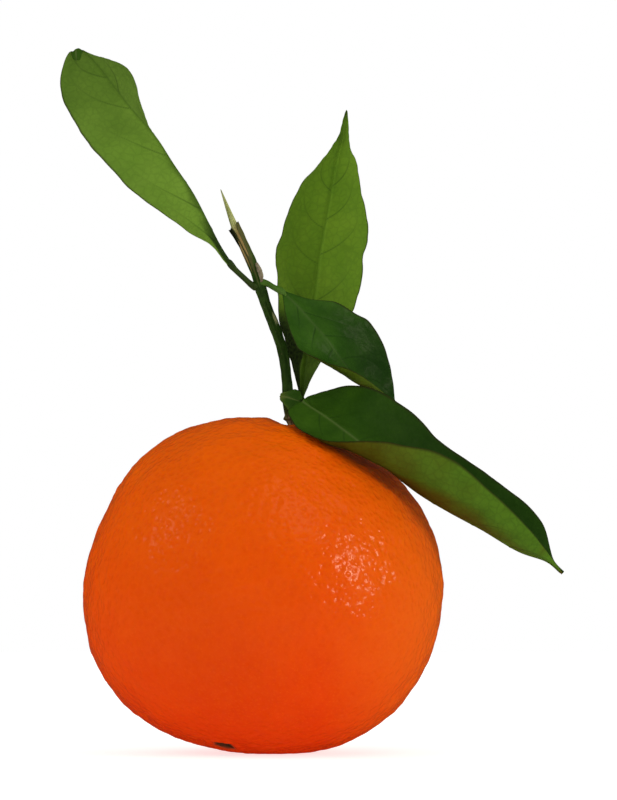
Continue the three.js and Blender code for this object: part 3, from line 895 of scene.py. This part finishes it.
leaf_pieces = {
    "leaf_upper_left": closed_leaf(
        "blade_upper_left", UPPER_LEFT_LEAF, bows=(1.2, 0.4), finishes=[upper_skin, pale_under_skin],
        wave=(0.10, 0.12, 13.0), starts=((4, 12.8, 25.8, 38, 46), (8, 19, 31, 42)), reach=8.0, seed=11,
        shades=[dict(run=(0.66, 1.3), side=ACROSS, softness=0.40, above=0.0, below=0.55),
                dict(run=(-0.2, 0.46), side=(-0.03, 0.15), softness=0.06, above=0.0, below=0.45),
                dict(run=(-0.2, 0.17), side=(-0.30, 0.4), softness=0.06, above=0.0, below=0.95)]),
    "leaf_upright": closed_leaf(
        "blade_upright", UPRIGHT_LEAF, bows=(0.8, 0.8), finishes=[upper_skin, under_skin],
        wave=(0.16, 0.35, 13.0), starts=((9, 19, 28.5, 36, 44), (13, 20.5, 30.5, 38, 45)), reach=4.5, seed=12,
        shades=[dict(run=(-0.1, 0.32), side=(-1.2, -0.06), softness=0.06, above=0.0, below=1.0),
                dict(run=(-0.1, 0.15), side=(-0.1, 1.2), softness=0.08, above=0.0, below=0.4),
                dict(run=(0.95, 1.3), side=ACROSS, softness=0.05, above=0.8, below=0.7)]),
    "leaf_middle": closed_leaf(
        "blade_middle", MIDDLE_LEAF, bows=(1.4, 1.0), finishes=[middle_skin, warm_under_skin],
        wave=(0.08, 0.12, 11.0), starts=((4, 10, 16, 22, 28), (6, 12.5, 19, 25)), reach=5.0, seed=13,
        shades=[dict(run=(0.35, 1.2), side=(0.2, 1.3), softness=0.35, above=1.0, below=0.0),
                dict(run=(-0.1, 1.1), side=(-1.2, 0.0), softness=0.2, above=0.0, below=0.3)]),
    "leaf_lower": closed_leaf(
        "blade_lower", LOWER_LEAF, bows=(2.4, 1.5), finishes=[upper_skin, warm_under_skin],
        wave=(0.08, 0.18, 14.0), starts=((6, 14, 22, 30, 38, 47, 56), (9, 18, 26, 34, 43, 52)),
        reach=6.5, seed=14,
        shades=[dict(run=(0.22, 1.1), side=(0.05, 1.3), softness=0.30, above=0.85, below=0.0),
                dict(run=(-0.1, 0.80), side=(-0.34, 0.2), softness=0.20, above=0.0, below=0.90),
                dict(run=(-0.1, 0.48), side=(-1.3, 0.2), softness=0.25, above=0.0, below=0.65),
                dict(run=(0.95, 1.3), side=ACROSS, softness=0.04, above=0.9, below=0.9)]),
}
for node, blade in leaf_pieces.items():
    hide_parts(node)
    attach(blade, "root")
    low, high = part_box(node)
    off = [max(abs(a - b) for a, b in zip(low, blade.bound_box[0])),
           max(abs(a - b) for a, b in zip(high, blade.bound_box[6]))]
    print(blade.name, "differs from its plain solid's box by at most", round(max(off) / MM, 2), "mm")

# %% [markdown]
# ## Calyx
#
# The calyx is the little green star that held the blossom and now holds the fruit. It has dried to a
# leathery button with five blunt lobes pressed into the rind, and a raised collar where the twig grows out
# of it. It is laid on the same surface formula as the rind, so it follows the dimple.

# %% Calyx on the rind
CALYX_RADIUS = 3.7 * MM
CALYX_LOBE = 0.9 * MM
CALYX_RINGS, CALYX_TURNS = 36, 180
CALYX_GREEN = ((0.050, 0.060, 0.016, 1), (0.105, 0.100, 0.028, 1))
CALYX_CORK = ((0.07, 0.04, 0.016, 1), (0.16, 0.10, 0.045, 1))
DRY_GLOSS = 0.08  # the gloss level of dry and fibrous skins


def closed_rings(rings):
    """Points and faces of a closed skin made of rings of equal count, with a middle point at each end."""
    rings = np.asarray(rings)
    count, turns = rings.shape[:2]
    points = np.vstack([rings.reshape(-1, 3), rings[0].mean(axis=0), rings[-1].mean(axis=0)])
    number = np.arange(count * turns).reshape(count, turns)
    beside = np.roll(number, -1, axis=1)
    faces = np.stack([number[:-1], beside[:-1], beside[1:], number[1:]], axis=-1).reshape(-1, 4).tolist()
    faces += [[count * turns, b, a] for a, b in zip(number[0].tolist(), beside[0].tolist())]
    faces += [[count * turns + 1, a, b] for a, b in zip(number[-1].tolist(), beside[-1].tolist())]
    return points, faces


def calyx_ring(share, lift):
    """One ring of the calyx at this share of its reach, raised off the rind by lift."""
    turn = np.linspace(0, 2 * np.pi, CALYX_TURNS, endpoint=False)
    lobe = 1 - np.abs(np.sin(2.5 * turn + 0.25 * np.sin(turn))) ** 0.8
    ragged = 0.06 * np.sin(13 * turn + 1) + 0.05 * np.sin(21 * turn)
    reach = share * (CALYX_RADIUS * (0.86 + ragged * share) + CALYX_LOBE * 1.6 * lobe * share**2)
    heading = STEM + np.outer(reach * np.cos(turn), STEM_SIDE / FRUIT_RADIUS)
    heading = unit(heading + np.outer(reach * np.sin(turn), STEM_UP / FRUIT_RADIUS))
    crease = 0.10 * MM * share * np.sin(25 * turn + 3 * np.sin(2 * turn))
    return on_fruit(heading, lift + crease * (1 - share))


shares = np.linspace(0.04, 1, CALYX_RINGS)
top_lift = MM * (0.35 + 0.9 * np.exp(-((shares / 0.42) ** 4)) + 0.35 * (1 - shares**4))
under_rings = [calyx_ring(share, 0.05 * MM) for share in shares[::6]]
top_rings = [calyx_ring(share, lift) for share, lift in zip(shares[::-1], top_lift[::-1])]
calyx_points, calyx_faces = closed_rings(under_rings + top_rings)

calyx_finish, tree, shader = finish_of("calyx_skin")
corky = patched(tree, CALYX_CORK, 0.7, 0.15)
green = patched(tree, CALYX_GREEN, 1.6, 0.2)["Colour"]
set_inputs(tree, shader, {
    "Base Color": blend_colours(tree, times(tree, corky["Mask"], 0.6), green, corky["Colour"]),
    "Roughness": 0.75,
    "Normal": bumped(tree, corky["Mask"], 0.6, 0.1 * MM),
    "Specular IOR Level": DRY_GLOSS,
})
calyx = mesh_piece("calyx_star", calyx_points, calyx_faces, [calyx_finish])
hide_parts("calyx")
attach(calyx, "root")
print("calyx rings:", len(under_rings + top_rings))

# %% [markdown]
# ## Twig and torn end
#
# The twig is a green shoot about two millimetres thick. Its bark is smooth and dark, with low ridges
# running along it, and it turns brown and corky where it meets the calyx. The upper end was torn, not cut:
# the bark stops in a ragged lip that flares to the left, with a slit down its front, and a pale splinter of
# wood stands out of it. Low on the left there is a small nub.
#
# Bark and wood are two skins. Each is swept along a route by rings that don't twist, and each ring's radius
# is a formula of where it is, so that ridges, knots and the tear are all real shape.

# %% Sweeping a skin along a route


def sweep(route, count, turns, radius, end_share=None):
    """Rings swept along a route given in millimetres.

    radius is a function of the place along the route and the turn round it, in millimetres.
    end_share says for each turn how much of the route the skin covers, which makes an oblique or ragged end.
    """
    turn = np.linspace(0, 2 * np.pi, turns, endpoint=False)
    fine = np.linspace(0, 1, 800)
    line = curve_through(route, fine)
    forward = unit(np.gradient(line, axis=0))
    side = np.empty_like(line)
    side[0] = unit(np.cross(forward[0], [0, 1, 0]))
    for k in range(1, len(fine)):
        side[k] = unit(side[k - 1] - forward[k] * np.dot(side[k - 1], forward[k]))
    up = np.cross(forward, side)
    length = np.concatenate([[0], np.cumsum(np.linalg.norm(np.diff(line, axis=0), axis=1))])
    cover = np.ones(turns) if end_share is None else end_share(turn)
    rings = []
    for step in np.linspace(0, 1, count):
        at = step * cover * length[-1]
        pick = [np.interp(at, length, values[:, axis]) for values in (line, side, up) for axis in range(3)]
        centre, across, above = [np.column_stack(pick[k:k + 3]) for k in (0, 3, 6)]
        size = radius(at, turn)[:, None]
        rings.append(centre + size * (across * np.cos(turn)[:, None] + above * np.sin(turn)[:, None]))
    return np.array(rings), length[-1]


TWIG_FOOT = [(on_fruit(STEM[None], lift * MM)[0] / MM).tolist() for lift in (1.0, 2.2)]
TWIG_ROUTE = TWIG_FOOT + [
    [5.5, 8, 71],
    [4.9, 7.5, 77],
    [4.1, 7, 82.6],
    [2.3, 6, 88],
    [0.6, 5.2, 92.3],
    [-1.9, 4.3, 100],
    [-6.1, 4, 109.2],
]
print("twig from", np.round(TWIG_ROUTE[0], 1), "to", TWIG_ROUTE[-1])

# %% Bark
FRONT = np.pi / 2  # the turn that faces the front of the object
# Places along the twig, in millimetres: where two stalks leave it, the nub, and where the torn lip begins.
LEFT_NODE, LOWER_NODE = 31.2, 5.5
NUB_PLACE = 3.4
LIP_START, LIP_LENGTH = 39.5, 5.5
TWIG_RINGS, TWIG_TURNS = 190, 64
# Rings that line the lip's inside: how many rings back from the end each lies, and how far it is drawn in.
LIP_LINING = ((0, 0.12), (1, 0.26), (4, 0.30), (10, 0.34))


def knot(at, place, width):
    """A swelling at one place along a rod, 0 to 1."""
    return np.exp(-(((at - place) / width) ** 2))


def turned_from(turn, middle):
    """How far a turn is from the middle one, the short way round."""
    return np.abs((turn - middle + np.pi) % (2 * np.pi) - np.pi)


def bark_radius(at, turn):
    ridge = 0.045 * np.cos(7 * turn + 0.10 * at) + 0.03 * np.cos(11 * turn - 0.2 * at + 1)
    lumps = 0.03 * np.sin(0.9 * at + 2 * turn) + 0.02 * np.sin(2.3 * at - turn)
    cork = knot(at, 0, 4.5) * (0.22 + 0.08 * np.sin(3.1 * at + 4 * turn) + 0.06 * np.sin(5 * turn + 1))
    swelling = 0.16 * knot(at, LEFT_NODE, 1.6) + 0.12 * knot(at, LOWER_NODE, 1.5)
    lip = 0.5 * np.clip((at - LIP_START) / LIP_LENGTH, 0, 1) ** 2 * np.maximum(np.cos(turn), 0)
    nub = 0.6 * knot(at, NUB_PLACE, 0.45) * np.exp(-((turned_from(turn, 0) / 0.5) ** 2))
    return 1.10 - 0.002 * at + ridge + lumps + cork + swelling + lip + nub


def bark_end(turn):
    slit = 0.17 * np.exp(-((turned_from(turn, FRONT - 0.1) / 0.24) ** 2))
    ragged = 0.008 * np.sin(9 * turn) + 0.006 * np.sin(17 * turn + 1)
    return 0.985 - slit + ragged + 0.012 * np.sin(turn - FRONT)


def grain_place(turn_share, along):
    """Where a point lies on a rod, for grain that runs along it: two numbers round and one along."""
    angle = 2 * np.pi * turn_share
    return np.column_stack([np.cos(angle), np.sin(angle), along])


def rod_places(ring_places, turns, length):
    """grain_place for every point of closed_rings, from where each ring lies along the rod."""
    along = np.concatenate([np.repeat(ring_places, turns), [0, length]])
    turn_share = np.concatenate([np.tile(np.arange(turns) / turns, len(ring_places)), [0, 0]])
    return grain_place(turn_share, along)


bark_rings, twig_length = sweep(TWIG_ROUTE, TWIG_RINGS, TWIG_TURNS, bark_radius, bark_end)
lining = []
for back, drawn_in in LIP_LINING:
    ring = bark_rings[-1 - back]
    lining.append(ring * (1 - drawn_in) + ring.mean(axis=0) * drawn_in)
twig_points, twig_faces = closed_rings(np.concatenate([bark_rings, lining]) * MM)
ring_shares = np.arange(TWIG_RINGS + len(lining)).clip(max=TWIG_RINGS - 1) / (TWIG_RINGS - 1)
bark_places = rod_places(ring_shares * twig_length, TWIG_TURNS, twig_length)
print("twig length in mm:", round(twig_length, 1))

# %% [markdown]
# The bark's colours change along and round the twig, so the finish reads where each point lies on the rod.
# The foot is cork, the torn end has died and dried, and on the left it is almost black. Half way up, a pale
# scuffed place shows where the green skin was rubbed. Small pale breathing pores dot the rest.

# %% Bark finish
SHOOT_GREEN = ((0.007, 0.024, 0.002, 1), (0.020, 0.060, 0.005, 1))
SHOOT_STREAK = (0.045, 0.090, 0.012, 1)
CORK_BROWN = ((0.090, 0.062, 0.036, 1), (0.300, 0.225, 0.135, 1))
DRY_BARK = ((0.085, 0.080, 0.026, 1), (0.010, 0.007, 0.004, 1))
SCUFF_PLACE = 24.4
SCUFF = (0.32, 0.33, 0.16, 1)
PORE = (0.12, 0.11, 0.05, 1)

bark_finish, tree, shader = finish_of("twig_bark")
rod_place = measured(tree, "rod_place", "Vector")
on_rod = parts_of(tree, rod_place)
streaks = placed(tree, grain, {"Place": rod_place, "Across": 2.6, "Along": 0.30})["Mask"]
shoot = patched(tree, SHOOT_GREEN, 2.2, 0.2)["Colour"]
shoot = blend_colours(tree, times(tree, streaks, 0.4), shoot, SHOOT_STREAK)
cork = patched(tree, CORK_BROWN, 0.55, 0.15)
uneven = plus(tree, on_rod["Z"], times(tree, math_node(tree, "SUBTRACT", streaks, 0.5), 3.0))
corky = in_reach(tree, uneven, 4.6, 2.0)
dead = in_reach(tree, uneven, 37.0, 42.0)
skin = blend_colours(tree, corky, shoot, cork["Colour"])
dry_bark = blend_colours(tree, in_reach(tree, on_rod["X"], 0.1, 0.7), *DRY_BARK)
skin = blend_colours(tree, times(tree, dead, 0.85), skin, dry_bark)
off_scuff = math_node(tree, "ABSOLUTE", math_node(tree, "SUBTRACT", on_rod["Z"], SCUFF_PLACE))
scuff = times(tree, in_reach(tree, off_scuff, 1.5, 0.7), in_reach(tree, on_rod["X"], -0.35, -0.6))
scuff = times(tree, scuff, in_reach(tree, on_rod["Y"], 0.3, 0.55))
skin = blend_colours(tree, scuff, skin, SCUFF)
pores = placed(tree, glands, {"Spacing": 1.5, "Width": 0.14})["Mask"]
relief = plus(tree, times(tree, streaks, 0.7), times(tree, cork["Mask"], corky))
set_inputs(tree, shader, {
    "Base Color": blend_colours(tree, times(tree, pores, 0.5), skin, PORE),
    "Roughness": spread(tree, corky, 0.5, 0.85),
    "Normal": bumped(tree, relief, 0.6, 0.1 * MM),
    "Specular IOR Level": DRY_GLOSS,
})
bark = mesh_piece("bark", twig_points, twig_faces, [bark_finish], measures={"rod_place": bark_places})
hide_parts("twig")
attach(bark, "root")

print("bark points:", len(twig_points))

# %% [markdown]
# The torn wood is a thin wedge of fibres that comes to a point. It is a skin of its own that starts inside
# the bark, so the slit shows wood. Its foot has browned in the air, and its tip is still pale and fresh.

# %% Torn wood
WOOD_ROUTE = [[-1.2, 4.4, 98], [-3.7, 3.9, 103.6], [-5.8, 3.9, 108.4], [-7.2, 4.0, 112], [-8.75, 4.0, 116.2]]
WOOD_RINGS, WOOD_TURNS = 90, 40
WOOD_IN_BARK = 11  # how much of the wood is hidden in the bark, in millimetres
WOOD_BROWN = ((0.15, 0.080, 0.020, 1), (0.44, 0.33, 0.13, 1))
WOOD_PALE = ((0.16, 0.19, 0.035, 1), (0.52, 0.55, 0.24, 1))


def wood_radius(at, turn):
    taper = np.clip((20.2 - at) / 9.0, 0.02, 1) ** 0.8
    fibre = 1 + 0.10 * np.cos(6 * turn + 0.15 * at) + 0.07 * np.cos(13 * turn)
    flat = 1 - 0.25 * np.sin(turn) ** 2 * np.clip((at - 9) / 6, 0, 1)
    return 0.74 * taper * fibre * flat


wood_rings, wood_length = sweep(WOOD_ROUTE, WOOD_RINGS, WOOD_TURNS, wood_radius)
wood_points, wood_faces = closed_rings(wood_rings * MM)
wood_places = rod_places(np.linspace(0, wood_length, WOOD_RINGS), WOOD_TURNS, wood_length)

wood_finish, tree, shader = finish_of("torn_wood")
rod_place = measured(tree, "rod_place", "Vector")
fibres = placed(tree, grain, {"Place": rod_place, "Across": 5.0, "Along": 0.25})["Mask"]
fresh = in_reach(tree, plus(tree, parts_of(tree, rod_place)["Z"], times(tree, fibres, 1.5)), 10.2, 13.2)
brown = blend_colours(tree, fibres, *WOOD_BROWN)
pale = blend_colours(tree, fibres, *WOOD_PALE)
set_inputs(tree, shader, {
    "Base Color": blend_colours(tree, fresh, brown, pale),
    "Roughness": 0.6,
    "Normal": bumped(tree, fibres, 0.8, 0.12 * MM),
    "Specular IOR Level": DRY_GLOSS,
})
wood = mesh_piece("torn_wood", wood_points, wood_faces, [wood_finish], measures={"rod_place": wood_places})
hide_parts("twig")
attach(wood, "root")
print("splinter stands", round(wood_length - WOOD_IN_BARK, 1), "mm out of the bark")

# %% [markdown]
# ## Bud
#
# Above the stalks sits a resting bud, a brown bead of dry scales that overlap like roof tiles. A plain egg
# would miss the steps between the scales, so its radius drops a little at the lip of each scale.

# %% Bud with its scales
BUD_LOW, BUD_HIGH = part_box("bud")
BUD_ROUTE = [[-0.3, 3.5, 97.1], [-0.35, 3.1, 98.3], [-0.8, 3.1, 99.7], [-1.4, 3.4, 101.0]]
BUD_REACH = 4.9  # the length that its scales are shared over, in millimetres
BUD_SCALES = 4
BUD_RINGS, BUD_TURNS = 70, 48
BUD_BROWN = ((0.090, 0.072, 0.044, 1), (0.27, 0.24, 0.165, 1))


def bud_radius(at, turn):
    share = at / BUD_REACH
    body = np.sin(np.pi * np.clip(share * 0.93 + 0.07, 0, 1)) ** 0.65
    tile = (share * BUD_SCALES + 0.35 * np.sin(2 * turn)) % 1
    return 0.53 * body * (1 - 0.16 * tile) + 0.02 * np.cos(9 * turn)


bud_rings, bud_length = sweep(BUD_ROUTE, BUD_RINGS, BUD_TURNS, bud_radius)
bud_points, bud_faces = closed_rings(bud_rings * MM)
bud_finish, tree, shader = finish_of("bud_scale")
dry = patched(tree, BUD_BROWN, 0.9, 0.18)
set_inputs(tree, shader, {
    "Base Color": dry["Colour"],
    "Roughness": 0.8,
    "Normal": bumped(tree, dry["Mask"], 0.7, 0.1 * MM),
    "Specular IOR Level": DRY_GLOSS,
})
bud = mesh_piece("bud_scales", bud_points, bud_faces, [bud_finish])
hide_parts("bud")
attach(bud, "root")
bud_solid_height = round((BUD_HIGH[2] - BUD_LOW[2]) / MM, 1)
print("bud length in mm:", round(bud_length, 1), "and its plain solid's height:", bud_solid_height)

# %% [markdown]
# ## Stalks
#
# Each leaf stands on a stalk that thickens at both ends: where it grows out of the twig, and at the joint
# where the blade will one day drop off. Three stalks are round, so they are swept like the bark. The middle
# one is a lighter green than the other two, so there are two skins.

# %% Round stalks
STALKS = {
    "stalk_upper_left": [[-1.4, 4.3, 96.0], [-2.6, 3.9, 96.7], [-4.4, 3.1, 98.3], [-6.5, 2.2, 100.5],
                         [-7.6, 2.0, 102.0]],
    "stalk_upright": [[7.2, 9.1, 69.4], [7.9, 9.8, 70.4], [8.2, 10.3, 71.4], [8.1, 10.4, 72.6],
                      [8.05, 10.4, 73.8]],
    "stalk_middle": [[-0.5, 4.3, 97.0], [0.9, 4.1, 96.7], [2.4, 3.2, 95.9], [3.9, 2.7, 95.1],
                     [4.8, 2.2, 94.2]],
}
STALK_RINGS, STALK_TURNS = 70, 36


def stalk_skin(name, flesh, streak):
    """The finish of a round stalk: green in patches, with grain that runs along it."""
    finish, tree, shader = finish_of(name)
    rod_place = measured(tree, "rod_place", "Vector")
    streaks = placed(tree, grain, {"Place": rod_place, "Across": 2.4, "Along": 0.4})["Mask"]
    skin = patched(tree, flesh, 2.4, 0.2)["Colour"]
    set_inputs(tree, shader, {
        "Base Color": blend_colours(tree, times(tree, streaks, 0.35), skin, streak),
        "Roughness": spread(tree, streaks, 0.42, 0.58),
        "Normal": bumped(tree, streaks, 0.5, 0.08 * MM),
        "Specular IOR Level": DRY_GLOSS,
    })
    return finish


def stalk_shape(span):
    """The radius of a stalk of this span, as a function of the place along it and the turn round it."""

    def radius(at, turn):
        thick_foot = 0.24 * knot(at, 0, 1.4)
        thick_joint = 0.14 * knot(at, span - 1.8, 1.0)
        ridges = 0.04 * np.cos(3 * turn + at) + 0.02 * np.cos(8 * turn)
        end = np.clip((span - at) / 1.0, 0.35, 1) ** 0.7
        return (0.56 + thick_foot + thick_joint + ridges) * end

    return radius


dark_stalk = stalk_skin("stalk_skin", flesh=((0.009, 0.022, 0.004, 1), (0.026, 0.056, 0.008, 1)),
                        streak=(0.045, 0.070, 0.016, 1))
light_stalk = stalk_skin("light_stalk_skin", flesh=((0.030, 0.085, 0.008, 1), (0.060, 0.140, 0.015, 1)),
                         streak=(0.110, 0.190, 0.035, 1))
for node, route in STALKS.items():
    span = np.linalg.norm(np.diff(route, axis=0), axis=1).sum()
    stalk_finish = light_stalk if node == "stalk_middle" else dark_stalk
    rings, stalk_length = sweep(route, STALK_RINGS, STALK_TURNS, stalk_shape(span))
    points, faces = closed_rings(rings * MM)
    stalk_places = rod_places(np.linspace(0, stalk_length, STALK_RINGS), STALK_TURNS, stalk_length)
    stalk = mesh_piece(node + "_rod", points, faces, [stalk_finish], measures={"rod_place": stalk_places})
    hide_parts(node)
    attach(stalk, "root")
    print(stalk.name, "length in mm:", round(stalk_length, 1))

# %% [markdown]
# The lowest stalk is winged, as citrus stalks often are: a narrow blade runs along each side of it. So it
# is made as a small, thick leaf with a rounded, yellowish foot.

# %% The winged stalk
wing_skin = leaf_skin(
    "wing_skin", flesh=((0.018, 0.056, 0.004, 1), (0.030, 0.086, 0.007, 1)),
    vein=(0.030, 0.074, 0.010, 1), rib=(0.085, 0.130, 0.030, 1), painted_shade_and_tone=(0.150, 0.200, 0.035, 1),
    glow=(0.10, 0.24, 0.008, 1), glow_share=0.06, roughness=0.40, net_share=0.12, bump=0.4)
wing = closed_leaf(
    "winged_stalk", LOWER_STALK, bows=(0.2, 0.2), finishes=[wing_skin, wing_skin], rows=80, columns=50,
    wave=(0.05, 0.05, 2.5), starts=((0.8, 1.9), (1.3, 2.4)), reach=1.4, seed=15,
    thickness=0.6, midrib=(0.4, 0.25), vein_rise=0.03, quilt=0.03,
    shades=[dict(run=(-0.2, 0.36), side=ACROSS, softness=0.15, above=0.5, below=0.5),
            dict(run=(-0.2, 1.2), side=(-1.5, -0.8), softness=0.10, above=0.2, below=0.2)])
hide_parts("stalk_lower")
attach(wing, "root")
print("winged stalk faces:", len(wing.data.polygons))
